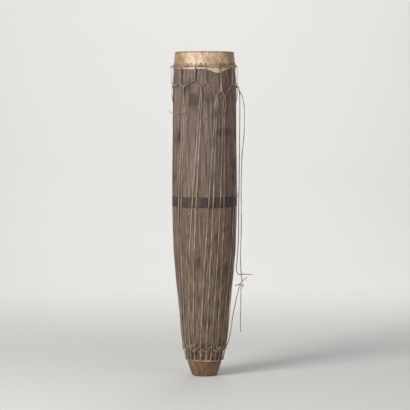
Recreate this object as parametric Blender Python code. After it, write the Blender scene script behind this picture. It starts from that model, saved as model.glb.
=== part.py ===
# Tall laced drum: a hollowed log with a playing skin, a smaller skin over the foot, and hide lacing.
# Metres, +Z up, origin at the centre of the foot's flat face. Angles are in degrees from the front,
# which faces -Y, and grow towards +X.
import math

import bmesh
import bpy
from mathutils import Vector

HEIGHT = 1.000  # floor to playing face
SKIN = 0.0013  # thickness of both skins
GAP = 0.0003  # clearance between pieces that touch
WALL = 0.011  # thickness of the log's wall
EDGE_ROUND = 0.003  # rounding of the log's two outer edges

# Outside of the log, as height above the floor and radius
FOOT_RADIUS = 0.0370
LOWER_OUTLINE = (
    (0.014, 0.0425),
    (0.038, 0.0498),
    (0.052, 0.0517),
    (0.090, 0.0643),
    (0.113, 0.0700),
    (0.200, 0.0767),
    (0.300, 0.0875),
    (0.390, 0.0948),
    (0.540, 0.0979),
    (0.760, 0.0981),
)
# The same near the top, as drop below the playing face and radius
UPPER_OUTLINE = ((0.116, 0.0974), (0.080, 0.0960), (0.045, 0.0926), (0.022, 0.0910))
RIM_RADIUS = 0.0892

UPPER_SKIRT = 0.054  # drop of the upper skin's edge
LOWER_SKIRT = 0.057  # height of the lower skin's edge
UPPER_HOOP_DROP = 0.045
UPPER_HOOP = 0.0040  # hoop cord diameters
LOWER_HOOP_HEIGHT = 0.050
LOWER_HOOP = 0.0030

BAND_HEIGHT = 0.5405  # middle of the girth band
BAND_WIDTH = 0.031
BAND_THICKNESS = 0.0012

THONG_WIDTH = 0.0040
THONG_THICKNESS = 0.0012
CORD = 0.0030  # tuning cord
FOOT_CORD = 0.0026
FLAT = 0.0035  # half length of the cord's straight stretch at each thong

# The net: angle of each loop and lace where it meets the tuning cord, with the cord's drop there
LOOPS = (
    (-47, 0.099), (-17, 0.091), (2, 0.096), (30, 0.120), (57, 0.100), (90, 0.097), (116, 0.094),
    (141, 0.099), (167, 0.093), (193, 0.098), (218, 0.095), (244, 0.099), (270, 0.094),
)
LACES = (
    (-77, 0.106), (-39, 0.107), (-6, 0.107), (21, 0.131), (37, 0.134), (77, 0.107), (103, 0.110),
    (128, 0.107), (154, 0.112), (180, 0.106), (206, 0.110), (231, 0.108), (257, 0.111),
)
# Angles of the laces' legs at the lower hoop, two for each lace in the same order
FEET = (
    -97, -84, -70, -57, -44, -30, -12, 4, 18, 33, 47, 61, 75, 89, 103, 116, 129, 142, 156, 169, 183, 196,
    210, 223, 236, 249,
)
SPLIT = 0.028  # drop below the cord at which a lace's legs lie side by side
SETTLE = 0.055  # drop below the cord at which both legs lie on the log
LACE_LEAVE = 0.090  # height at which the legs leave the log for the lower hoop
FOOT_CORD_HEIGHT = 0.088
FOOT_CORD_WAVE = 0.008

KNOT_ANGLE = 67  # the lashing on the tuning cord
KNOT_CORD = 0.0024
KNOT_TURNS = 3.5
KNOT_PITCH = 0.0031
LOOSE = 0.0028  # broken laces and stray ends

SEGMENTS = 40
RING_STEP = 0.060
ARC_POINTS = 5

BASE = SKIN + GAP
RIM = HEIGHT - SKIN - GAP

# Routes of the loose laces and ends, chosen by hand
OUTER_ROUTE = (
    (0.0984, -0.0459, 0.8972), (0.1022, -0.0450, 0.8900), (0.1085, -0.0415, 0.8760), (0.1157, -0.0370, 0.8600),
    (0.1216, -0.0325, 0.8300), (0.1219, -0.0300, 0.7610), (0.1190, -0.0280, 0.7200), (0.1157, -0.0270, 0.6900),
    (0.1142, -0.0260, 0.6500), (0.1126, -0.0250, 0.5900), (0.1134, -0.0240, 0.5000), (0.1126, -0.0240, 0.4300),
    (0.1110, -0.0250, 0.3700), (0.1126, -0.0260, 0.3200), (0.1150, -0.0242, 0.3000), (0.1158, -0.0230, 0.2876),
)
INNER_ROUTE = (
    (0.1020, -0.0375, 0.8955), (0.1045, -0.0350, 0.8880), (0.1070, -0.0300, 0.8700), (0.1085, -0.0270, 0.8300),
    (0.1080, -0.0230, 0.7600), (0.1072, -0.0200, 0.6800), (0.1065, -0.0180, 0.6000), (0.1052, -0.0170, 0.5200),
    (0.1048, -0.0170, 0.4400), (0.1020, -0.0190, 0.3800), (0.0990, -0.0210, 0.3400), (0.0995, -0.0215, 0.3240),
    (0.1050, -0.0210, 0.3150), (0.1160, -0.0190, 0.3150), (0.1342, -0.0200, 0.3150), (0.1466, -0.0220, 0.3130),
)
CROSS_ROUTE = (
    (0.1312, -0.0335, 0.3080), (0.1188, -0.0325, 0.2970), (0.1086, -0.0314, 0.2866), (0.0941, -0.0330, 0.2815),
)
STRAIGHT_ROUTE = (
    (0.1128, -0.0257, 0.2694), (0.1120, -0.0265, 0.2350), (0.1112, -0.0260, 0.1800), (0.1111, -0.0260, 0.1370),
)
CURVED_ROUTE = (
    (0.1061, -0.0293, 0.2748), (0.1035, -0.0285, 0.2620), (0.1000, -0.0275, 0.2480), (0.0950, -0.0260, 0.2250),
    (0.0900, -0.0250, 0.2000), (0.0850, -0.0250, 0.1700), (0.0800, -0.0245, 0.1350), (0.0745, -0.0235, 0.1090),
    (0.0696, -0.0224, 0.0960),
)
TANGLE_CENTRE = Vector((0.1126, -0.0260, 0.2790))
TANGLE_SIZE = 0.0026
SIDE_TIE_HEIGHT = 0.812
HOOP_TAIL_ANGLE = -86


def polar(angle, radius, height):
    """Point at an angle round the drum, seen from the front."""
    turn = math.radians(angle)
    return Vector((radius * math.sin(turn), -radius * math.cos(turn), height))


def corner(radius, height, turns, distance):
    """Points of a rounded edge of the log, moved outward by a distance."""
    reach = EDGE_ROUND + distance
    return [
        (height + reach * math.sin(math.radians(turn)), radius + reach * math.cos(math.radians(turn)))
        for turn in turns
    ]


def outline():
    """Heights and radii of the log's side between its two rounded edges."""
    points = list(LOWER_OUTLINE) + [(HEIGHT - drop, radius) for drop, radius in UPPER_OUTLINE]
    rings = []
    for (low, low_radius), (high, high_radius) in zip(points, points[1:]):
        steps = max(1, round((high - low) / RING_STEP))
        for step in range(steps):
            share = step / steps
            rings.append((low + (high - low) * share, low_radius + (high_radius - low_radius) * share))
    return rings + [points[-1]]


def side(distance):
    """The log's outside from foot to rim, moved outward by a distance."""
    foot = corner(FOOT_RADIUS - EDGE_ROUND, BASE + EDGE_ROUND, (-90, -57, -24), distance)
    rim = corner(RIM_RADIUS - EDGE_ROUND, RIM - EDGE_ROUND, (0, 45, 90), distance)
    return foot + [(height, radius + distance) for height, radius in outline()] + rim


def between(points, height):
    """Radius at a height on a line of (height, radius) points."""
    for (low, low_radius), (high, high_radius) in zip(points, points[1:]):
        if low <= height <= high and high > low:
            return low_radius + (high_radius - low_radius) * (height - low) / (high - low)
    return points[-1][1] if height > points[-1][0] else points[0][1]


LOG_SIDE = side(0)
BAND_LOW = BAND_HEIGHT - BAND_WIDTH / 2
BAND_HIGH = BAND_HEIGHT + BAND_WIDTH / 2


def log_radius(height):
    return between(LOG_SIDE, height)


def rest_radius(height):
    """Radius of whatever a thong lies on at a height."""
    if height <= LOWER_SKIRT or height >= HEIGHT - UPPER_SKIRT:
        return log_radius(height) + GAP + SKIN
    if BAND_LOW <= height <= BAND_HIGH:
        return log_radius(height) + GAP + BAND_THICKNESS
    return log_radius(height)


def thong_radius(height):
    return rest_radius(height) + GAP + THONG_THICKNESS / 2


def cord_radius(height, cord):
    """Centre of a cord that leaves room for a thong behind it."""
    return rest_radius(height) + GAP + THONG_THICKNESS + GAP + cord / 2


def wrap_radius(cord):
    """Radius at which a thong's middle goes round a cord."""
    return cord / 2 + GAP + THONG_THICKNESS / 2


def taut(points):
    """The points that a stretched thong touches, out of (height, radius) points."""
    kept = []
    for height, radius in sorted(points):
        while len(kept) > 1:
            (low, low_radius), (mid, mid_radius) = kept[-2:]
            if (mid_radius - low_radius) * (height - low) > (radius - low_radius) * (mid - low):
                break
            kept.pop()
        kept.append((height, radius))
    return kept


def finish(name, mesh, colour, roughness):
    """Puts a mesh or a curve in the scene with its own material."""
    item = bpy.data.objects.new(name, mesh)
    material = bpy.data.materials.new(name)
    material.use_nodes = True
    shader = material.node_tree.nodes["Principled BSDF"]
    shader.inputs["Base Color"].default_value = (*colour, 1)
    shader.inputs["Roughness"].default_value = roughness
    mesh.materials.append(material)
    bpy.context.collection.objects.link(item)
    return item


def turned(name, profile, colour, roughness):
    """Turns a closed profile of (radius, height) points round the drum's axis."""
    form = bmesh.new()
    verts = [form.verts.new((radius, 0, height)) for radius, height in profile]
    edges = [form.edges.new(pair) for pair in zip(verts, verts[1:])]
    if profile[0][0] > 0:
        edges.append(form.edges.new((verts[-1], verts[0])))
    bmesh.ops.spin(
        form, geom=verts + edges, cent=(0, 0, 0), axis=(0, 0, 1), angle=math.tau, steps=SEGMENTS, use_duplicate=False,
    )
    bmesh.ops.remove_doubles(form, verts=form.verts, dist=1e-6)
    bmesh.ops.recalc_face_normals(form, faces=form.faces)
    mesh = bpy.data.meshes.new(name)
    form.to_mesh(mesh)
    form.free()
    mesh.shade_smooth()
    mesh.set_sharp_from_angle(angle=math.radians(40))
    return finish(name, mesh, colour, roughness)


def thong(name, points, closed=False):
    """Sweeps the flat section of a thong along points, flat against the drum."""
    form = bmesh.new()
    last = len(points) - 1
    sections = []
    for index, point in enumerate(points):
        before = points[index - 1] if closed or index else point
        after = points[(index + 1) % len(points)] if closed or index < last else point
        along = (after - before).normalized()
        across = Vector((-point.y, point.x, 0)).normalized()
        across = (across - along * along.dot(across)).normalized()
        out = along.cross(across)
        corners = []
        for wide, thick in ((-1, -1), (1, -1), (1, 1), (-1, 1)):
            offset = across * (wide * THONG_WIDTH / 2) + out * (thick * THONG_THICKNESS / 2)
            corners.append(form.verts.new(point + offset))
        sections.append(corners)
    pairs = list(zip(sections, sections[1:]))
    if closed:
        pairs.append((sections[-1], sections[0]))
    else:
        form.faces.new(sections[0])
        form.faces.new(sections[-1])
    for first, second in pairs:
        for index in range(4):
            nearby = (index + 1) % 4
            form.faces.new((first[index], first[nearby], second[nearby], second[index]))
    bmesh.ops.recalc_face_normals(form, faces=form.faces)
    mesh = bpy.data.meshes.new(name)
    form.to_mesh(mesh)
    form.free()
    return finish(name, mesh, (0.33, 0.22, 0.13), 0.6)


def tube(name, points, diameter, closed=False, sides=1):
    """A round cord along points, closed into a ring or with filled ends."""
    curve = bpy.data.curves.new(name, "CURVE")
    curve.dimensions = "3D"
    curve.bevel_depth = diameter / 2
    curve.bevel_resolution = sides
    curve.use_fill_caps = not closed
    spline = curve.splines.new("POLY")
    spline.points.add(len(points) - 1)
    for target, point in zip(spline.points, points):
        target.co = (*point, 1)
    spline.use_cyclic_u = closed
    return finish(name, curve, (0.30, 0.20, 0.12), 0.65)


def smooth(route, spacing):
    """Points along a smooth curve through a route."""
    points = [Vector(point) for point in route]
    padded = [2 * points[0] - points[1]] + points + [2 * points[-1] - points[-2]]
    fine = []
    for before, start, end, after in zip(padded, padded[1:], padded[2:], padded[3:]):
        steps = max(2, math.ceil((end - start).length / spacing))
        for step in range(steps):
            t = step / steps
            bend = (2 * before - 5 * start + 4 * end - after) * t * t
            bend += (3 * start - before - 3 * end + after) * t ** 3
            fine.append(start + ((end - before) * t + bend) / 2)
    return fine + [points[-1]]


def make_log():
    inner = [(height, radius - WALL) for height, radius in outline()[::3]]
    profile = [(radius, height) for height, radius in LOG_SIDE]
    profile.append((RIM_RADIUS - WALL, RIM))
    profile += [(radius, height) for height, radius in reversed(inner)]
    profile.append((FOOT_RADIUS - WALL, BASE))
    turned("shell", profile, (0.19, 0.13, 0.095), 0.7)


def skirted(points, edge, upper):
    """The part of a line of (height, radius) points that a skin covers, ending at its edge."""
    kept = [point for point in points if (point[0] > edge) == upper]
    cut = [(edge, between(points, edge))]
    return cut + kept if upper else kept + cut


def make_upper_head():
    edge = HEIGHT - UPPER_SKIRT
    inside = skirted(side(GAP), edge, True)
    outside = skirted(side(GAP + SKIN), edge, True)
    profile = [(0, inside[-1][0])] + [(radius, height) for height, radius in reversed(inside)]
    profile += [(radius, height) for height, radius in outside] + [(0, outside[-1][0])]
    turned("upper_head", profile, (0.62, 0.40, 0.20), 0.5)


def make_lower_head():
    inside = skirted(side(GAP), LOWER_SKIRT, False)
    outside = skirted(side(GAP + SKIN), LOWER_SKIRT, False)
    profile = [(0, outside[0][0])] + [(radius, height) for height, radius in outside]
    profile += [(radius, height) for height, radius in reversed(inside)] + [(0, inside[0][0])]
    turned("lower_head", profile, (0.19, 0.11, 0.06), 0.6)


def make_hoop(name, height, cord):
    radius = cord_radius(height, cord)
    points = [polar(360 * step / SEGMENTS, radius, height) for step in range(SEGMENTS)]
    tube(name, points, cord, closed=True)


def make_girth_band():
    heights = [BAND_LOW] + [height for height, _ in outline() if BAND_LOW < height < BAND_HIGH] + [BAND_HIGH]
    inside = [(log_radius(height) + GAP, height) for height in heights]
    outside = [(radius + BAND_THICKNESS, height) for radius, height in reversed(inside)]
    turned("girth_band", inside + outside, (0.05, 0.045, 0.045), 0.8)


def arc(angle, radius, height, reach, start, end):
    """A thong's turn round a cord; 0 points outward and 90 points up."""
    points = []
    for step in range(ARC_POINTS):
        turn = math.radians(start + (end - start) * step / (ARC_POINTS - 1))
        points.append(polar(angle, radius + reach * math.cos(turn), height + reach * math.sin(turn)))
    return points


def make_tuning_cord():
    anchors = sorted(LOOPS + LACES)
    anchors.append((anchors[0][0] + 360, anchors[0][1]))
    stand_off = KNOT_CORD + GAP
    points = []
    for (angle, drop), (next_angle, next_drop) in zip(anchors, anchors[1:]):
        height, next_height = HEIGHT - drop, HEIGHT - next_drop
        half = math.degrees(FLAT / cord_radius(height, CORD))
        points += [polar(angle + turn, cord_radius(height, CORD), height) for turn in (-half, half)]
        if angle < KNOT_ANGLE < next_angle:
            reach = math.degrees((KNOT_TURNS + 1.5) * KNOT_PITCH / 2 / cord_radius(height, CORD))
            turns, lift = (KNOT_ANGLE - reach, KNOT_ANGLE + reach), stand_off
        else:
            steps = int((next_angle - angle) / 9)
            turns, lift = [angle + (next_angle - angle) * (step + 1) / (steps + 1) for step in range(steps)], 0
        for turn in turns:
            share = (turn - angle) / (next_angle - angle)
            level = height + (next_height - height) * share
            points.append(polar(turn, cord_radius(level, CORD) + lift, level))
    tube("tuning_cord", points, CORD, closed=True)
    return points


def make_tuning_knot(cord_points):
    """A lashing wound round the tuning cord's straight stretch beside the knot's angle."""
    middle = polar(KNOT_ANGLE, 1, 0).normalized()
    near = sorted(cord_points, key=lambda point: -Vector((point.x, point.y, 0)).normalized().dot(middle))[:2]
    start, end = sorted(near, key=lambda point: point.x * middle.y - point.y * middle.x)
    along = (end - start).normalized()
    out = (middle - along * middle.dot(along)).normalized()
    up = along.cross(out)
    reach = CORD / 2 + GAP + KNOT_CORD / 2
    centre = (start + end) / 2
    count = round(KNOT_TURNS * 12)
    points = []
    for step in range(count + 1):
        turn = math.tau * KNOT_TURNS * step / count
        shift = KNOT_PITCH * KNOT_TURNS * (step / count - 0.5)
        points.append(centre + along * shift + (out * math.cos(turn) + up * math.sin(turn)) * reach)
    tube("tuning_knot", points, KNOT_CORD)


def make_loop(name, angle, drop):
    """A doubled thong round the upper hoop and the tuning cord."""
    top, bottom = HEIGHT - UPPER_HOOP_DROP, HEIGHT - drop
    edge = HEIGHT - UPPER_SKIRT
    heights = [height for height, _ in outline() if bottom < height < edge] + [bottom, edge, top]
    behind = taut([(height, thong_radius(height)) for height in heights])
    points = arc(angle, cord_radius(top, UPPER_HOOP), top, wrap_radius(UPPER_HOOP), 0, 180)
    points += [polar(angle, radius, height) for height, radius in reversed(behind[1:-1])]
    points += arc(angle, cord_radius(bottom, CORD), bottom, wrap_radius(CORD), 180, 360)
    thong(name, points, closed=True)


def leg_line():
    """Heights and radii of a lace's leg from where it settles on the log to the lower hoop."""
    hoop = cord_radius(LOWER_HOOP_HEIGHT, LOWER_HOOP) + wrap_radius(LOWER_HOOP)
    heights = [height for height, _ in outline() if height > LACE_LEAVE] + [LACE_LEAVE, BAND_LOW, BAND_HIGH]
    return [(LOWER_HOOP_HEIGHT, hoop)] + [(height, thong_radius(height)) for height in heights]


def make_lace(name, angle, drop, feet):
    """A doubled thong over the tuning cord, with both ends hooked round the lower hoop."""
    top = HEIGHT - drop
    settle = top - SETTLE
    split_turn = math.degrees((THONG_WIDTH / 2 + GAP) / log_radius(top))
    hoop = cord_radius(LOWER_HOOP_HEIGHT, LOWER_HOOP)
    line = taut([point for point in leg_line() if point[0] < settle] + [(settle, thong_radius(settle))])
    legs = []
    for foot, toward, outer in zip(feet, (-1, 1), (False, True)):
        start = angle + toward * split_turn
        split_radius = cord_radius(top, CORD) + wrap_radius(CORD) if outer else thong_radius(top - SPLIT)
        leg = [polar(start, split_radius, top - SPLIT)]
        for height, radius in reversed(line[1:]):
            share = (top - SPLIT - height) / (top - SPLIT - LOWER_HOOP_HEIGHT)
            leg.append(polar(start + (foot - start) * share, radius, height))
        leg += arc(foot, hoop, LOWER_HOOP_HEIGHT, wrap_radius(LOWER_HOOP), 0, -180)
        leg.append(polar(foot, thong_radius(LOWER_SKIRT), LOWER_SKIRT))
        legs.append(leg)
    over = arc(angle, cord_radius(top, CORD), top, wrap_radius(CORD), 180, 0)
    thong(name, legs[0][::-1] + over + legs[1])


def make_foot_cord():
    line = taut([point for point in leg_line() if point[0] < BAND_LOW])
    points = []
    for index, foot in enumerate(FEET):
        height = FOOT_CORD_HEIGHT + FOOT_CORD_WAVE * (-1) ** index
        radius = between(line, height) + THONG_THICKNESS / 2 + GAP + FOOT_CORD / 2
        half = math.degrees(FLAT / radius)
        points += [polar(foot + turn, radius, height) for turn in (-half, half)]
    tube("foot_cord", points, FOOT_CORD, closed=True)


def make_tangle_knot():
    """An overhand knot, drawn as an open trefoil."""
    count = 30
    points = []
    for step in range(count):
        turn = math.tau * (0.06 + 0.86 * step / (count - 1))
        across = math.sin(turn) + 2 * math.sin(2 * turn)
        high = math.cos(turn) - 2 * math.cos(2 * turn)
        deep = -1.2 * math.sin(3 * turn)
        points.append(TANGLE_CENTRE + Vector((across, deep, high)) * TANGLE_SIZE)
    tube("tangle_knot", points, LOOSE)


def make_side_tie():
    """A short thong across two laces, with its ends standing out."""
    radius = log_radius(SIDE_TIE_HEIGHT) + 2 * GAP + THONG_THICKNESS + LOOSE / 2 + GAP
    route = [
        polar(-97, radius + 0.010, SIDE_TIE_HEIGHT + 0.006),
        polar(-90, radius + 0.004, SIDE_TIE_HEIGHT + 0.002),
        polar(-80, radius, SIDE_TIE_HEIGHT - 0.002),
        polar(-68, radius, SIDE_TIE_HEIGHT - 0.003),
        polar(-54, radius, SIDE_TIE_HEIGHT),
        polar(-40, radius, SIDE_TIE_HEIGHT + 0.004),
        polar(-34, radius + 0.002, SIDE_TIE_HEIGHT + 0.005),
    ]
    tube("side_tie", smooth(route, 0.012), LOOSE)


def make_hoop_tail():
    level = HEIGHT - UPPER_HOOP_DROP
    radius = cord_radius(level, UPPER_HOOP) + UPPER_HOOP / 2 + GAP + LOOSE / 2
    route = [
        polar(HOOP_TAIL_ANGLE + 12, radius, level),
        polar(HOOP_TAIL_ANGLE + 5, radius + 0.0005, level),
        polar(HOOP_TAIL_ANGLE, radius + 0.002, level - 0.001),
        polar(HOOP_TAIL_ANGLE - 7, radius + 0.006, level - 0.004),
    ]
    tube("hoop_tail", smooth(route, 0.010), LOOSE)


def make_loose_ends():
    routes = {
        "loose_lace_outer": OUTER_ROUTE,
        "loose_lace_inner": INNER_ROUTE,
        "cross_end": CROSS_ROUTE,
        "straight_end": STRAIGHT_ROUTE,
        "curved_end": CURVED_ROUTE,
    }
    for name, route in routes.items():
        tube(name, smooth(route, 0.040), LOOSE, sides=2)


def main():
    for item in list(bpy.data.objects):
        bpy.data.objects.remove(item)
    make_log()
    make_upper_head()
    make_lower_head()
    make_hoop("upper_hoop", HEIGHT - UPPER_HOOP_DROP, UPPER_HOOP)
    make_hoop("lower_hoop", LOWER_HOOP_HEIGHT, LOWER_HOOP)
    make_girth_band()
    cord_points = make_tuning_cord()
    make_tuning_knot(cord_points)
    make_foot_cord()
    for number, (angle, drop) in enumerate(LOOPS, 1):
        make_loop(f"upper_loop_{number:02d}", angle, drop)
    for number, (angle, drop) in enumerate(LACES, 1):
        make_lace(f"long_lace_{number:02d}", angle, drop, FEET[2 * number - 2:2 * number])
    make_tangle_knot()
    make_side_tie()
    make_hoop_tail()
    make_loose_ends()


main()
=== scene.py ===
import math
import random

import bmesh
import bpy
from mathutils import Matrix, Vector, noise


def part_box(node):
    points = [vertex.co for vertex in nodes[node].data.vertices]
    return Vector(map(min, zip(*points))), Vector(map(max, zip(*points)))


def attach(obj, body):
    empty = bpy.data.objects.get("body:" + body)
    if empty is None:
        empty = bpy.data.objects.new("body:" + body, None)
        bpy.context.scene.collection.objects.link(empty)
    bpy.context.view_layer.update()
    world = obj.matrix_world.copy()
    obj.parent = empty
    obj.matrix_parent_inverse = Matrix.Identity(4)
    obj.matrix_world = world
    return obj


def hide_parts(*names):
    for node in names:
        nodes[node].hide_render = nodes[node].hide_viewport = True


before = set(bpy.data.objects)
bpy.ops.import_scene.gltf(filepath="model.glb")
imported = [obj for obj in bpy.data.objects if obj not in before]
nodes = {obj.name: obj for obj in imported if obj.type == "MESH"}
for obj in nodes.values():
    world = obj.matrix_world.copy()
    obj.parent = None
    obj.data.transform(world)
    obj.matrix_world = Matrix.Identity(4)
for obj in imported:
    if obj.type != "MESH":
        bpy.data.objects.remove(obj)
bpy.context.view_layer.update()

scene = bpy.context.scene
random.seed(7)
noise.seed_set(7)  # noise_vector, used on the thongs, starts from the clock without it


# Shader helpers
def newNode(tree, kind, **values):
    node = tree.nodes.new(kind)
    for key, value in values.items():
        setattr(node, key, value)
    return node


def ramp(tree, source, stops):
    node = newNode(tree, "ShaderNodeValToRGB")
    elements = node.color_ramp.elements
    while len(elements) < len(stops):
        elements.new(0.5)
    for element, (place, colour) in zip(elements, stops):
        element.position = place
        element.color = (*colour, 1)
    tree.links.new(source, node.inputs["Fac"])
    return node.outputs["Color"]


def mixColour(tree, factor, first, second, blend="MIX"):
    # sockets 0, 6 and 7 take the factor and the two colours
    node = newNode(tree, "ShaderNodeMix", data_type="RGBA", blend_type=blend)
    for value, socket in ((factor, node.inputs[0]), (first, node.inputs[6]), (second, node.inputs[7])):
        if isinstance(value, bpy.types.NodeSocket):
            tree.links.new(value, socket)
        elif isinstance(value, tuple):
            socket.default_value = (*value, 1)
        else:
            socket.default_value = value
    return node.outputs[2]


def multiply(tree, first, second):
    return mixColour(tree, 1.0, first, second, "MULTIPLY")


def fadeAlong(tree, axis, start, end):
    # 0 at start and 1 at end, measured along one of the drum's own axes
    place = newNode(tree, "ShaderNodeTexCoord")
    split = newNode(tree, "ShaderNodeSeparateXYZ")
    tree.links.new(place.outputs["Object"], split.inputs[0])
    span = newNode(tree, "ShaderNodeMapRange")
    span.inputs["From Min"].default_value = start
    span.inputs["From Max"].default_value = end
    tree.links.new(split.outputs[axis], span.inputs["Value"])
    return span.outputs[0]


def noiseNode(group, place, detail, roughness=0.5):
    node = newNode(group, "ShaderNodeTexNoise")
    node.inputs["Detail"].default_value = detail
    node.inputs["Roughness"].default_value = roughness
    group.links.new(place, node.inputs["Vector"])
    return node


fibreDetail = {"grain": 5, "grainRoughness": 0.65, "blotch": 4, "speck": 3, "speckScale": 420}


def makeFibreGroup():
    # long fibres along the drum, blotches and fine specks, shared by every finish
    group = bpy.data.node_groups.new("fibreWear", "ShaderNodeTree")
    for name, default in (("Grain Scale", 120.0), ("Stretch", 0.08), ("Blotch Scale", 9.0)):
        socket = group.interface.new_socket(name, in_out="INPUT", socket_type="NodeSocketFloat")
        socket.default_value = default
    for name in ("Grain", "Blotch", "Speck"):
        group.interface.new_socket(name, in_out="OUTPUT", socket_type="NodeSocketFloat")
    start = newNode(group, "NodeGroupInput")
    end = newNode(group, "NodeGroupOutput")
    place = newNode(group, "ShaderNodeTexCoord").outputs["Object"]
    stretch = newNode(group, "ShaderNodeCombineXYZ")
    stretch.inputs["X"].default_value = 1
    stretch.inputs["Y"].default_value = 1
    group.links.new(start.outputs["Stretch"], stretch.inputs["Z"])
    stretched = newNode(group, "ShaderNodeVectorMath", operation="MULTIPLY")
    group.links.new(place, stretched.inputs[0])
    group.links.new(stretch.outputs[0], stretched.inputs[1])
    grain = noiseNode(group, stretched.outputs[0], fibreDetail["grain"], fibreDetail["grainRoughness"])
    group.links.new(start.outputs["Grain Scale"], grain.inputs["Scale"])
    blotch = noiseNode(group, place, fibreDetail["blotch"])
    group.links.new(start.outputs["Blotch Scale"], blotch.inputs["Scale"])
    speck = noiseNode(group, place, fibreDetail["speck"])
    speck.inputs["Scale"].default_value = fibreDetail["speckScale"]
    for name, node in (("Grain", grain), ("Blotch", blotch), ("Speck", speck)):
        group.links.new(node.outputs["Fac"], end.inputs[name])
    return group


fibreWear = makeFibreGroup()


def startMaterial(name, finish):
    material = bpy.data.materials.new(name)
    material.use_nodes = True
    tree = material.node_tree
    shader = tree.nodes["Principled BSDF"]
    shader.inputs["Roughness"].default_value = finish["roughness"]
    shader.inputs["Specular IOR Level"].default_value = finish["gloss"]
    wear = newNode(tree, "ShaderNodeGroup", node_tree=fibreWear)
    wear.inputs["Grain Scale"].default_value = finish["grainScale"]
    wear.inputs["Stretch"].default_value = finish["stretch"]
    wear.inputs["Blotch Scale"].default_value = finish["blotchScale"]
    bump = newNode(tree, "ShaderNodeBump")
    bump.inputs["Strength"].default_value = finish["bump"]
    bump.inputs["Distance"].default_value = finish["bumpDepth"]
    tree.links.new(wear.outputs["Grain"], bump.inputs["Height"])
    tree.links.new(bump.outputs[0], shader.inputs["Normal"])
    return material, tree, shader.inputs["Base Color"], wear.outputs


# Aged wood of the log, greyer above and warmer below
woodFinish = {
    "roughness": 0.62, "gloss": 0.3, "grainScale": 170, "stretch": 0.05, "blotchScale": 14,
    "bump": 0.55, "bumpDepth": 0.0012, "lowerEnd": 0.35, "upperStart": 0.75,
    "upper": ((0.33, (0.085, 0.062, 0.054)), (0.5, (0.19, 0.145, 0.127)), (0.68, (0.32, 0.25, 0.215))),
    "lower": ((0.33, (0.075, 0.05, 0.036)), (0.5, (0.17, 0.122, 0.088)), (0.68, (0.29, 0.215, 0.155))),
    "stain": (0.27, 0.135, 0.075), "stainSpread": ((0.60, (0, 0, 0)), (0.78, (0.8, 0.8, 0.8))),
    "dirt": ((0.30, (0.45, 0.42, 0.40)), (0.45, (1, 1, 1))),
    "specks": ((0.35, (0.72, 0.70, 0.68)), (0.6, (1.08, 1.05, 1.0))),
}


def makeWoodFinish():
    material, tree, colour, wear = startMaterial("agedWood", woodFinish)
    upper = ramp(tree, wear["Grain"], woodFinish["upper"])
    lower = ramp(tree, wear["Grain"], woodFinish["lower"])
    fade = fadeAlong(tree, "Z", woodFinish["lowerEnd"], woodFinish["upperStart"])
    base = mixColour(tree, fade, lower, upper)
    base = mixColour(tree, ramp(tree, wear["Blotch"], woodFinish["stainSpread"]), base, woodFinish["stain"])
    base = multiply(tree, base, ramp(tree, wear["Blotch"], woodFinish["dirt"]))
    base = multiply(tree, base, ramp(tree, wear["Speck"], woodFinish["specks"]))
    tree.links.new(base, colour)
    return material


# Rawhide of the playing skin: pale in front; browner round the sides, which is painted shade where the skin
# turns away from the front; browner also at the rim
playingSkinFinish = {
    "roughness": 0.42, "gloss": 0.45, "grainScale": 70, "stretch": 0.5, "blotchScale": 20,
    "bump": 0.35, "bumpDepth": 0.0008,
    "pale": ((0.32, (0.50, 0.32, 0.16)), (0.5, (0.76, 0.56, 0.38)), (0.66, (0.90, 0.73, 0.56))),
    "brown": (0.46, 0.27, 0.10), "brownSpread": ((0.52, (0, 0, 0)), (0.74, (0.7, 0.7, 0.7))),
    # side is a painted shade colour, faded in from the front towards sideStart to darken the skin's sides
    "side": (0.26, 0.13, 0.05), "sideShadeShare": 0.62, "sideShadeFadeStart": -0.085, "sideStart": -0.045,
    "rim": (0.22, 0.11, 0.05), "rimShare": 0.6, "rimStart": 0.992, "rimEnd": 0.999,
    "specks": ((0.36, (0.62, 0.52, 0.46)), (0.52, (1, 1, 1))),
}


def makePlayingSkinFinish():
    finish = playingSkinFinish
    material, tree, colour, wear = startMaterial("playingSkin", finish)
    pale = ramp(tree, wear["Grain"], finish["pale"])
    base = mixColour(tree, ramp(tree, wear["Blotch"], finish["brownSpread"]), pale, finish["brown"])
    # painted shade: the skin darkens round its sides as it turns away from the front
    side = mixColour(tree, finish["sideShadeShare"], base, finish["side"])
    base = mixColour(tree, fadeAlong(tree, "Y", finish["sideShadeFadeStart"], finish["sideStart"]), base, side)
    rim = mixColour(tree, finish["rimShare"], base, finish["rim"])
    base = mixColour(tree, fadeAlong(tree, "Z", finish["rimStart"], finish["rimEnd"]), base, rim)
    base = multiply(tree, base, ramp(tree, wear["Speck"], finish["specks"]))
    tree.links.new(base, colour)
    return material


# Darker rawhide of the foot skin
footSkinFinish = {
    "roughness": 0.5, "gloss": 0.4, "grainScale": 90, "stretch": 0.4, "blotchScale": 34,
    "bump": 0.4, "bumpDepth": 0.0008,
    "grain": ((0.32, (0.085, 0.045, 0.025)), (0.5, (0.17, 0.10, 0.058)), (0.68, (0.27, 0.175, 0.11))),
    "stain": (0.22, 0.12, 0.06), "stainSpread": ((0.5, (0, 0, 0)), (0.66, (1, 1, 1))),
}


def makeFootSkinFinish():
    material, tree, colour, wear = startMaterial("footSkin", footSkinFinish)
    base = ramp(tree, wear["Grain"], footSkinFinish["grain"])
    spread = ramp(tree, wear["Blotch"], footSkinFinish["stainSpread"])
    tree.links.new(mixColour(tree, spread, base, footSkinFinish["stain"]), colour)
    return material


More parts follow.
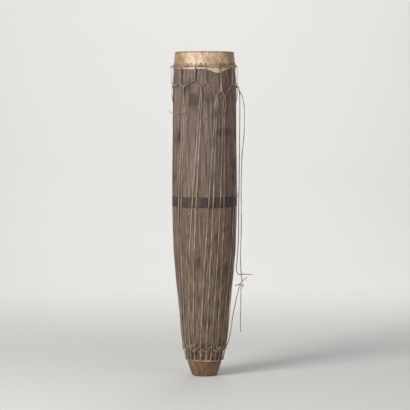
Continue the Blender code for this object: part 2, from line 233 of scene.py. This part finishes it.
# Dry hide of the thongs and cords, in two tints
hideFinish = {
    "roughness": 0.55, "gloss": 0.35, "grainScale": 260, "stretch": 0.15, "blotchScale": 26,
    "bump": 0.5, "bumpDepth": 0.0006, "plainTint": (1.0, 1.0, 1.0), "paleTint": (1.25, 1.22, 1.15),
    "blotch": ((0.34, (0.22, 0.155, 0.11)), (0.5, (0.36, 0.27, 0.20)), (0.66, (0.50, 0.39, 0.30))),
    "grain": ((0.35, (0.66, 0.62, 0.58)), (0.62, (1.1, 1.08, 1.04))),
}


def makeHideFinish(name, tint):
    material, tree, colour, wear = startMaterial(name, hideFinish)
    base = ramp(tree, wear["Blotch"], hideFinish["blotch"])
    base = multiply(tree, base, ramp(tree, wear["Grain"], hideFinish["grain"]))
    tree.links.new(multiply(tree, base, tint), colour)
    return material


# Blackened hide of the waist band
bandFinish = {
    "roughness": 0.7, "gloss": 0.25, "grainScale": 200, "stretch": 0.1, "blotchScale": 22,
    "bump": 0.4, "bumpDepth": 0.0006,
    "grain": ((0.35, (0.036, 0.029, 0.025)), (0.65, (0.100, 0.082, 0.072))),
}


def makeBandFinish():
    material, tree, colour, wear = startMaterial("blackHide", bandFinish)
    tree.links.new(ramp(tree, wear["Grain"], bandFinish["grain"]), colour)
    return material


wood = makeWoodFinish()
playingHide = makePlayingSkinFinish()
footHide = makeFootSkinFinish()
plainHide = makeHideFinish("hideThong", hideFinish["plainTint"])
paleHide = makeHideFinish("paleHide", hideFinish["paleTint"])
blackHide = makeBandFinish()
print("materials made")


# Camera, level with the upper half and looking slightly down
cameraSetup = {"distance": 5.5, "height": 0.85, "aim": (0.0015, 0, 0.528), "lens": 156.5, "sensor": 36}


def makeCamera():
    data = bpy.data.cameras.new("viewCamera")
    data.lens = cameraSetup["lens"]
    data.sensor_width = cameraSetup["sensor"]
    camera = bpy.data.objects.new("viewCamera", data)
    camera.location = (0, -cameraSetup["distance"], cameraSetup["height"])
    toward = Vector(cameraSetup["aim"]) - camera.location
    camera.rotation_euler = toward.to_track_quat("-Z", "Y").to_euler()
    scene.collection.objects.link(camera)
    scene.camera = camera


# Free cords: the broken laces at the right and the ends that leave their knot
cordForm = {"thickness": 0.0028, "spacing": 0.006, "roundness": 3, "unevenness": 0.14, "unevenScale": 90}
cordRoutes = {
    "loose_lace_outer": {
        "farEnd": "knot",
        "route": (
            (0.0984, -0.0459, 0.8972), (0.1022, -0.0450, 0.8900), (0.1085, -0.0415, 0.8760),
            (0.1157, -0.0370, 0.8600), (0.1216, -0.0325, 0.8300), (0.1219, -0.0300, 0.7610),
            (0.1190, -0.0280, 0.7200), (0.1157, -0.0270, 0.6900), (0.1142, -0.0260, 0.6500),
            (0.1126, -0.0250, 0.5900), (0.1134, -0.0240, 0.5000), (0.1126, -0.0240, 0.4300),
            (0.1110, -0.0250, 0.3700), (0.1126, -0.0260, 0.3200), (0.1150, -0.0242, 0.3000),
            (0.1158, -0.0230, 0.2876),
        ),
    },
    "loose_lace_inner": {
        "farEnd": "bare",
        "route": (
            (0.1020, -0.0375, 0.8955), (0.1045, -0.0350, 0.8880), (0.1070, -0.0300, 0.8700),
            (0.1085, -0.0270, 0.8300), (0.1080, -0.0230, 0.7600), (0.1072, -0.0200, 0.6800),
            (0.1065, -0.0180, 0.6000), (0.1052, -0.0170, 0.5200), (0.1048, -0.0170, 0.4400),
            (0.1020, -0.0190, 0.3800), (0.0990, -0.0210, 0.3400), (0.0995, -0.0215, 0.3240),
            (0.1050, -0.0210, 0.3150), (0.1160, -0.0190, 0.3150), (0.1342, -0.0200, 0.3150),
            (0.1466, -0.0220, 0.3130),
        ),
    },
    "cross_end": {
        "farEnd": "bare",
        "route": (
            (0.1312, -0.0335, 0.3080), (0.1188, -0.0325, 0.2970), (0.1086, -0.0314, 0.2866),
            (0.0941, -0.0330, 0.2815),
        ),
    },
    "straight_end": {
        "farEnd": "bare",
        "route": (
            (0.1128, -0.0257, 0.2694), (0.1120, -0.0265, 0.2350), (0.1112, -0.0260, 0.1800),
            (0.1111, -0.0260, 0.1370),
        ),
    },
    "curved_end": {
        "farEnd": "object",
        "route": (
            (0.1061, -0.0293, 0.2748), (0.1035, -0.0285, 0.2620), (0.1000, -0.0275, 0.2480),
            (0.0950, -0.0260, 0.2250), (0.0900, -0.0250, 0.2000), (0.0850, -0.0250, 0.1700),
            (0.0800, -0.0245, 0.1350), (0.0745, -0.0235, 0.1090), (0.0696, -0.0224, 0.0960),
        ),
    },
}


def smoothRoute(route, spacing):
    # one smooth curve through every point of the route
    points = [Vector(point) for point in route]
    padded = [2 * points[0] - points[1]] + points + [2 * points[-1] - points[-2]]
    fine = []
    for before, start, end, after in zip(padded, padded[1:], padded[2:], padded[3:]):
        steps = max(2, math.ceil((end - start).length / spacing))
        for step in range(steps):
            t = step / steps
            bend = (2 * before - 5 * start + 4 * end - after) * t * t
            bend += (3 * start - before - 3 * end + after) * t ** 3
            fine.append(start + ((end - before) * t + bend) / 2)
    return fine + [points[-1]]


def settle(piece, slotName, *replaced):
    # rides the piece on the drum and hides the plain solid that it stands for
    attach(piece, "root")
    if replaced:
        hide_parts(*replaced)


def makeFreeCords():
    for name, facts in cordRoutes.items():
        points = smoothRoute(facts["route"], cordForm["spacing"])
        curve = bpy.data.curves.new(name + "_line", "CURVE")
        curve.dimensions = "3D"
        curve.bevel_depth = cordForm["thickness"] / 2
        curve.bevel_resolution = cordForm["roundness"]
        curve.use_fill_caps = True
        spline = curve.splines.new("POLY")
        spline.points.add(len(points) - 1)
        for target, point in zip(spline.points, points):
            target.co = (*point, 1)
            target.radius = 1 + cordForm["unevenness"] * noise.noise(point * cordForm["unevenScale"])
        curve.materials.append(paleHide)
        piece = bpy.data.objects.new(name + "_line", curve)
        scene.collection.objects.link(piece)
        settle(piece, "hide", name)


makeCamera()
makeFreeCords()
print("camera and cords made")


# The log's outside, read from its solid: what lies on the log takes its place from it
outlineReading = {"outwardShare": 0.3, "sameRing": 0.0002}


def outlineOf(node):
    # widest radius at each ring height of a turned solid, taken from its outward faces alone
    mesh = nodes[node].data
    corners = set()
    for face in mesh.polygons:
        outward = face.normal.x * face.center.x + face.normal.y * face.center.y
        if outward > outlineReading["outwardShare"] * face.center.xy.length:
            corners.update(face.vertices)
    widest = []
    for vert in sorted((mesh.vertices[index] for index in corners), key=lambda vert: vert.co.z):
        radius = math.hypot(vert.co.x, vert.co.y)
        if widest and vert.co.z - widest[-1][0] < outlineReading["sameRing"]:
            widest[-1][1] = max(widest[-1][1], radius)
        else:
            widest.append([vert.co.z, radius])
    return widest


logOutline = outlineOf("shell")


def logRadius(height):
    for (low, lowRadius), (high, highRadius) in zip(logOutline, logOutline[1:]):
        if low <= height <= high and high > low:
            return lowRadius + (highRadius - lowRadius) * (height - low) / (high - low)
    return logOutline[-1][1] if height > logOutline[-1][0] else logOutline[0][1]


def around(angle, radius, height):
    # a point at an angle in degrees from the front, positive to the right
    turn = math.radians(angle)
    return Vector((radius * math.sin(turn), -radius * math.cos(turn), height))


def surfaceNoise(out, radius, height, scales):
    # smooth noise on the drum's surface, with one scale round it and one up it
    acrossScale, upScale = scales
    return noise.noise(Vector((out.x * radius * acrossScale, out.y * radius * acrossScale, height * upScale)))


# Mesh helpers
def joinRings(form, low, high):
    # a belt of faces between two closed rings of points
    count = len(low)
    for index in range(count):
        nearby = (index + 1) % count
        form.faces.new((low[index], low[nearby], high[nearby], high[index]))


def makePiece(name, form, material):
    mesh = bpy.data.meshes.new(name)
    form.to_mesh(mesh)
    form.free()
    mesh.shade_smooth()
    mesh.materials.append(material)
    piece = bpy.data.objects.new(name, mesh)
    scene.collection.objects.link(piece)
    return piece


sharpEdge = math.radians(50)


def ringMesh(name, rings, segments, material, move, capLow=False, capHigh=False, closed=False):
    # rings of (radius, height) round the drum's axis; move shifts each point outward
    form = bmesh.new()
    rows = []
    for radius, height in rings:
        row = []
        for index in range(segments):
            out = around(360 * index / segments, 1, 0)
            row.append(form.verts.new(out * (radius + move(out, radius, height)) + Vector((0, 0, height))))
        rows.append(row)
    for low, high in zip(rows, rows[1:]):
        joinRings(form, low, high)
    if closed:
        joinRings(form, rows[-1], rows[0])
    if capLow:
        form.faces.new(rows[0][::-1])
    if capHigh:
        form.faces.new(rows[-1])
    bmesh.ops.recalc_face_normals(form, faces=form.faces)
    piece = makePiece(name, form, material)
    piece.data.set_sharp_from_angle(angle=sharpEdge)
    return piece


def giveThickness(piece, thickness):
    layer = piece.modifiers.new("thickness", "SOLIDIFY")
    layer.thickness = thickness
    layer.offset = -1


# Tubes for thongs that have no solid of their own
tubeSides = 6


def sweepTube(form, points, thickness):
    # adds one closed tube along points to a mesh
    rows = []
    across = None
    for index, point in enumerate(points):
        along = (points[min(index + 1, len(points) - 1)] - points[max(index - 1, 0)]).normalized()
        if across is None:
            across = along.orthogonal().normalized()
        across = (across - along * along.dot(across)).normalized()
        lift = along.cross(across)
        row = []
        for side in range(tubeSides):
            turn = math.tau * side / tubeSides
            reach = (across * math.cos(turn) + lift * math.sin(turn)) * thickness / 2
            row.append(form.verts.new(point + reach))
        rows.append(row)
    for low, high in zip(rows, rows[1:]):
        joinRings(form, low, high)
    form.faces.new(rows[0][::-1])
    form.faces.new(rows[-1])


def joinTubes(name, lines, thickness):
    form = bmesh.new()
    for line in lines:
        sweepTube(form, line, thickness)
    bmesh.ops.recalc_face_normals(form, faces=form.faces)
    settle(makePiece(name, form, paleHide), "hide")


# The hollow log, with shallow tool marks and raised fibres
logForm = {
    "segments": 150, "step": 0.005, "wall": 0.011, "innerEvery": 6,
    "toolMarks": 0.0007, "toolMarkScales": (60, 14), "fibres": 0.0007, "fibreScales": (300, 9),
}


def makeLog():
    low, high = logOutline[0][0], logOutline[-1][0]
    count = int((high - low) / logForm["step"])
    heights = [low + (high - low) * step / count for step in range(count + 1)]
    rings = [(logRadius(height), height) for height in heights]
    bore = reversed(heights[::logForm["innerEvery"]])
    rings += [(logRadius(height) - logForm["wall"], height) for height in bore]

    def carve(out, radius, height):
        marks = surfaceNoise(out, radius, height, logForm["toolMarkScales"])
        fibres = surfaceNoise(out, radius, height, logForm["fibreScales"])
        return min(0, marks) * logForm["toolMarks"] + min(0, fibres) * logForm["fibres"]

    piece = ringMesh("carved_log", rings, logForm["segments"], wood, carve, closed=True)
    settle(piece, "shell_wood", "shell")


# Both skins lie on the log over the same small gap
skinForm = {"gap": 0.0003, "thickness": 0.0013, "segments": 160, "layerShare": 0.8}


def onSkin(height):
    return logRadius(height) + skinForm["gap"] + skinForm["thickness"]


playingSkinForm = {
    "skirtRings": 30, "rimRings": 6, "rimRounding": 0.0045, "rimDrop": 0.006,
    "topShares": (0.9, 0.7, 0.45, 0.2, 0.05), "topDish": 0.0004, "flatTop": 0.002,
    "pucker": 0.0005, "puckerScales": (130, 25),
    "skirtReach": 0.012, "skirtLift": 0.0002, "edgeWave": 0.0032, "edgeWaveScale": 4, "edgeWaveStart": 3.1,
    "tongue": 0.013, "tongueAngle": 24, "tongueSpread": 15,
}


def skirtDrop(angle):
    # how far the ragged edge of the playing skin hangs at an angle from the front
    shape = playingSkinForm
    away = (angle - shape["tongueAngle"] + 180) % 360 - 180
    tongue = shape["tongue"] * math.exp(-((away / shape["tongueSpread"]) ** 2))
    turn = math.radians(angle)
    scale = shape["edgeWaveScale"]
    ragged = noise.noise(Vector((math.cos(turn) * scale, math.sin(turn) * scale, shape["edgeWaveStart"])))
    return tongue + ragged * shape["edgeWave"]


def makePlayingSkin():
    shape = playingSkinForm
    low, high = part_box("upper_head")
    rounding = shape["rimRounding"]
    rimRadius = onSkin(high.z - shape["rimDrop"])
    rings = []
    for step in range(shape["skirtRings"] + 1):
        height = low.z + (high.z - rounding - low.z) * step / shape["skirtRings"]
        rings.append((onSkin(height), height))
    for step in range(1, shape["rimRings"] + 1):
        turn = math.pi / 2 * step / shape["rimRings"]
        radius = rimRadius - rounding + rounding * math.cos(turn)
        rings.append((radius, high.z - rounding + rounding * math.sin(turn)))
    for share in shape["topShares"]:
        rings.append((rimRadius * share, high.z - shape["topDish"] * (1 - share)))

    def pucker(out, radius, height):
        if height > high.z - shape["flatTop"]:
            return 0
        return surfaceNoise(out, radius, height, shape["puckerScales"]) * shape["pucker"]

    piece = ringMesh("playing_skin", rings, skinForm["segments"], playingHide, pucker, capHigh=True)
    for vert in piece.data.vertices:
        share = 1 - (vert.co.z - low.z) / shape["skirtReach"]
        if share > 0:
            angle = math.degrees(math.atan2(vert.co.x, -vert.co.y))
            height = vert.co.z - skirtDrop(angle) * share
            vert.co = around(angle, onSkin(height) + shape["skirtLift"], height)
    giveThickness(piece, skinForm["thickness"] * skinForm["layerShare"])
    settle(piece, "upper_skin", "upper_head")


footSkinForm = {
    "rounding": 0.006, "footInset": 0.001, "footHeight": 0.012, "baseShares": (0.05, 0.4, 0.75),
    "edgeRings": 6, "sideRings": 22, "sideStart": 0.010,
    "pucker": 0.0006, "puckerScales": (120, 30), "flatBase": 0.004,
}


def makeFootSkin():
    shape = footSkinForm
    low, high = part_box("lower_head")
    rounding = shape["rounding"]
    foot = logRadius(shape["footHeight"]) - shape["footInset"]
    rings = [(foot * share, low.z) for share in shape["baseShares"]]
    for step in range(shape["edgeRings"] + 1):
        turn = math.pi / 2 * step / shape["edgeRings"]
        radius = foot - rounding + rounding * math.sin(turn)
        rings.append((radius, low.z + rounding - rounding * math.cos(turn)))
    for step in range(1, shape["sideRings"] + 1):
        height = low.z + rounding + (high.z - rounding) * step / shape["sideRings"]
        if height > shape["sideStart"]:
            rings.append((onSkin(height), height))

    def pucker(out, radius, height):
        if height < shape["flatBase"]:
            return 0
        return surfaceNoise(out, radius, height, shape["puckerScales"]) * shape["pucker"]

    piece = ringMesh("foot_skin", rings, skinForm["segments"], footHide, pucker, capLow=True)
    giveThickness(piece, skinForm["thickness"] * skinForm["layerShare"])
    settle(piece, "lower_skin", "lower_head")


bandForm = {
    "segments": 140, "rings": 10, "standOff": 0.0014, "thickness": 0.0010,
    "wave": 0.0002, "waveScales": (9, 60),
}


def makeBand():
    low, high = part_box("girth_band")
    heights = [low.z + (high.z - low.z) * step / bandForm["rings"] for step in range(bandForm["rings"] + 1)]
    rings = [(logRadius(height) + bandForm["standOff"], height) for height in heights]

    def wave(out, radius, height):
        return surfaceNoise(out, 1, height, bandForm["waveScales"]) * bandForm["wave"]

    piece = ringMesh("waist_band", rings, bandForm["segments"], blackHide, wave)
    giveThickness(piece, bandForm["thickness"])
    settle(piece, "band", "girth_band")


# The thong that whips the playing skin's edge to its hoop, seen as scallops above the hoop
stitchForm = {
    "count": 40, "pointsEach": 14, "thickness": 0.0024, "standOff": 0.4, "above": 0.0012, "height": 0.0052,
    "timing": 1.1, "timingSpan": 20, "drift": 0.0015, "driftSpan": 9, "driftStart": 5,
}


def makeStitching():
    shape = stitchForm
    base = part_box("upper_hoop")[1].z + shape["above"]
    count = shape["count"] * shape["pointsEach"]
    line = []
    for step in range(count):
        angle = 360 * step / count
        timing = shape["timing"] * noise.noise(Vector((angle / shape["timingSpan"], 0, 0)))
        wave = math.sin(math.tau * shape["count"] * step / count + timing)
        drift = noise.noise(Vector((angle / shape["driftSpan"], shape["driftStart"], 0)))
        height = base + shape["height"] * wave + shape["drift"] * drift
        line.append(around(angle, onSkin(height) + shape["thickness"] * shape["standOff"], height))
    joinTubes("skin_stitching", [line], shape["thickness"])


# Small hitches above the lower hoop, each with a stub end: angle from the front and height
footKnots = (
    (-27, 0.102), (-34, 0.097), (-25, 0.085), (-14, 0.079), (-10, 0.069), (-4, 0.085), (7, 0.082),
    (27, 0.082), (26, 0.069), (33, 0.082), (69, 0.103), (72, 0.069), (70, 0.062), (110, 0.090),
    (140, 0.075), (165, 0.098), (190, 0.080), (215, 0.070), (240, 0.095), (265, 0.085), (290, 0.080),
)
knotForm = {
    "turns": 1.7, "points": 16, "reach": 0.0028, "flatness": 0.6, "rise": 0.0036, "thickness": 0.0024,
    "lift": 0.0030, "stubPoints": 4, "stubLean": 0.0014, "stubOut": 0.0005, "stubRise": 0.0009,
}


def makeFootKnots():
    shape = knotForm
    lines = []
    for angle, height in footKnots:
        centre = around(angle, logRadius(height) + shape["lift"], height)
        out = around(angle, 1, 0)
        side = Vector((-out.y, out.x, 0))
        line = []
        for step in range(shape["points"]):
            share = step / (shape["points"] - 1)
            turn = math.tau * shape["turns"] * share
            loop = side * math.cos(turn) + out * math.sin(turn) * shape["flatness"]
            line.append(centre + loop * shape["reach"] + Vector((0, 0, shape["rise"] * (share - 0.5))))
        lean = random.uniform(-shape["stubLean"], shape["stubLean"])
        stubStep = out * shape["stubOut"] + side * lean + Vector((0, 0, shape["stubRise"]))
        for _ in range(shape["stubPoints"]):
            line.append(line[-1] + stubStep)
        lines.append(line)
    joinTubes("lace_hitches", lines, shape["thickness"])


# Stray stubs of hide on the net: angle from the front, height, lean in degrees, length
strayStubs = (
    (-31, 0.798, 20, 0.010), (1, 0.797, 70, 0.008), (-5, 0.770, 10, 0.007), (-14, 0.693, 30, 0.009),
    (66, 0.684, 60, 0.014), (88, 0.560, 15, 0.012), (-26, 0.508, 50, 0.018), (-58, 0.465, 85, 0.020),
    (15, 0.440, 10, 0.008), (35, 0.446, 5, 0.010), (-3, 0.243, 20, 0.008), (37, 0.276, 15, 0.012),
    (-1, 0.627, 80, 0.014), (150, 0.700, 30, 0.012), (200, 0.480, 60, 0.014), (240, 0.300, 20, 0.012),
)
stubForm = {"thickness": 0.0018, "lift": 0.0024, "bow": 0.012, "points": 7}


def makeStrayStubs():
    lines = []
    for angle, height, lean, length in strayStubs:
        tilt = math.radians(lean)
        line = []
        for step in range(stubForm["points"]):
            share = step / (stubForm["points"] - 1) - 0.5
            across = math.degrees(length * share * math.sin(tilt) / logRadius(height))
            level = height + length * share * math.cos(tilt)
            radius = logRadius(level) + stubForm["lift"] + stubForm["bow"] * share * share
            line.append(around(angle + across, radius, level))
        lines.append(line)
    joinTubes("stray_stubs", lines, stubForm["thickness"])


makeLog()
makePlayingSkin()
makeFootSkin()
makeBand()
makeStitching()
makeFootKnots()
makeStrayStubs()
print("log, skins, band and knots made")


# Hoops, cords, loops and laces: each is grown from its own plain solid
thongForm = {
    "weld": 2e-6, "joinAngle": 0.6, "joinShape": 3.1, "longestEdge": 0.009, "splitRounds": 5,
    "drift": 0.0004, "driftScale": 55, "hoopSwell": 0.0011, "lumpiness": 0.7, "lumpScale": 120,
}
paleNodes = ("side_tie", "tangle_knot", "tuning_knot", "hoop_tail", "foot_cord", "lower_hoop")


def makeThong(node):
    # rounded edges, uneven width and, on the hoops, a fuller lumpy roll
    form = bmesh.new()
    form.from_mesh(nodes[node].data)
    bmesh.ops.remove_doubles(form, verts=form.verts, dist=thongForm["weld"])
    bmesh.ops.join_triangles(form, faces=form.faces, angle_face_threshold=thongForm["joinAngle"],
                             angle_shape_threshold=thongForm["joinShape"], topology_influence=0.0)
    for _ in range(thongForm["splitRounds"]):
        longEdges = [edge for edge in form.edges if edge.calc_length() > thongForm["longestEdge"]]
        if not longEdges:
            break
        bmesh.ops.subdivide_edges(form, edges=longEdges, cuts=1, use_grid_fill=True)
    piece = makePiece(node + "_hide", form, paleHide if node in paleNodes else plainHide)
    swell = thongForm["hoopSwell"] if node.endswith("_hoop") else 0
    for vert in piece.data.vertices:
        drift = noise.noise_vector(vert.co * thongForm["driftScale"])
        lump = swell * (1 + thongForm["lumpiness"] * noise.noise(vert.co * thongForm["lumpScale"]))
        vert.co += Vector((drift.x, drift.y, 0)) * thongForm["drift"] + vert.normal * lump
    soften = piece.modifiers.new("roundEdges", "SUBSURF")
    soften.levels = 1
    soften.render_levels = 1
    settle(piece, "hide", node)


madeAlready = {"shell", "upper_head", "lower_head", "girth_band"} | set(cordRoutes)
for node in sorted(set(nodes) - madeAlready):
    makeThong(node)
print("laces made")


# Plain pale studio: a paper sheet bent up behind the drum, a soft world and four lamps
backdropForm = {
    "colour": (0.80, 0.79, 0.77), "roughness": 0.9, "halfWidth": 14, "front": -12, "bendStart": 3,
    "bendRadius": 2.5, "bendSteps": 7, "bendStep": 0.2, "top": 14, "below": 0.0005,
}
worldLight = {"colour": (0.82, 0.82, 0.83), "onDrum": 0.42, "seen": 0.9}
drumMiddle = (0, 0, 0.55)
lampSetup = {
    "keyLamp": {"place": (-2.4, -2.6, 2.3), "size": 1.6, "power": 105, "aim": drumMiddle},
    "fillLamp": {"place": (2.6, -2.2, 1.2), "size": 2.0, "power": 10, "aim": drumMiddle},
    "backLamp": {"place": (0.5, 2.8, 2.6), "size": 1.6, "power": 14, "aim": drumMiddle},
    "wallLamp": {"place": (0, 2.2, 3.4), "size": 2.4, "power": 75, "aim": (0, 6, 1.6)},
}


def makeBackdrop():
    start, bend = backdropForm["bendStart"], backdropForm["bendRadius"]
    turns = [backdropForm["bendStep"] * step for step in range(1, backdropForm["bendSteps"] + 1)]
    profile = [(backdropForm["front"], 0), (start, 0)]
    profile += [(start + bend * math.sin(turn), bend - bend * math.cos(turn)) for turn in turns]
    profile += [(start + bend, bend), (start + bend, backdropForm["top"])]
    sides = (-backdropForm["halfWidth"], backdropForm["halfWidth"])
    form = bmesh.new()
    rows = [[form.verts.new((side, depth, height)) for side in sides] for depth, height in profile]
    for near, far in zip(rows, rows[1:]):
        form.faces.new((near[0], near[1], far[1], far[0]))
    paper = bpy.data.materials.new("floorPaper")
    paper.use_nodes = True
    shader = paper.node_tree.nodes["Principled BSDF"]
    shader.inputs["Base Color"].default_value = (*backdropForm["colour"], 1)
    shader.inputs["Roughness"].default_value = backdropForm["roughness"]
    floor = makePiece("studioFloor", form, paper)
    floor.location.z = -backdropForm["below"]


def makeWorld():
    # the camera sees a paler world than the one that lights the drum
    world = bpy.data.worlds.new("studioWorld")
    world.use_nodes = True
    tree = world.node_tree
    background = tree.nodes["Background"]
    background.inputs["Color"].default_value = (*worldLight["colour"], 1)
    rays = newNode(tree, "ShaderNodeLightPath")
    strength = newNode(tree, "ShaderNodeMapRange")
    strength.inputs["To Min"].default_value = worldLight["onDrum"]
    strength.inputs["To Max"].default_value = worldLight["seen"]
    tree.links.new(rays.outputs["Is Camera Ray"], strength.inputs["Value"])
    tree.links.new(strength.outputs[0], background.inputs["Strength"])
    scene.world = world


def makeLamps():
    for name, setup in lampSetup.items():
        data = bpy.data.lights.new(name, "AREA")
        data.size = setup["size"]
        data.energy = setup["power"]
        lamp = bpy.data.objects.new(name, data)
        lamp.location = setup["place"]
        toward = Vector(setup["aim"]) - lamp.location
        lamp.rotation_euler = toward.to_track_quat("-Z", "Y").to_euler()
        scene.collection.objects.link(lamp)


makeBackdrop()
makeWorld()
makeLamps()
scene.view_settings.view_transform = "Standard"
print("studio made")
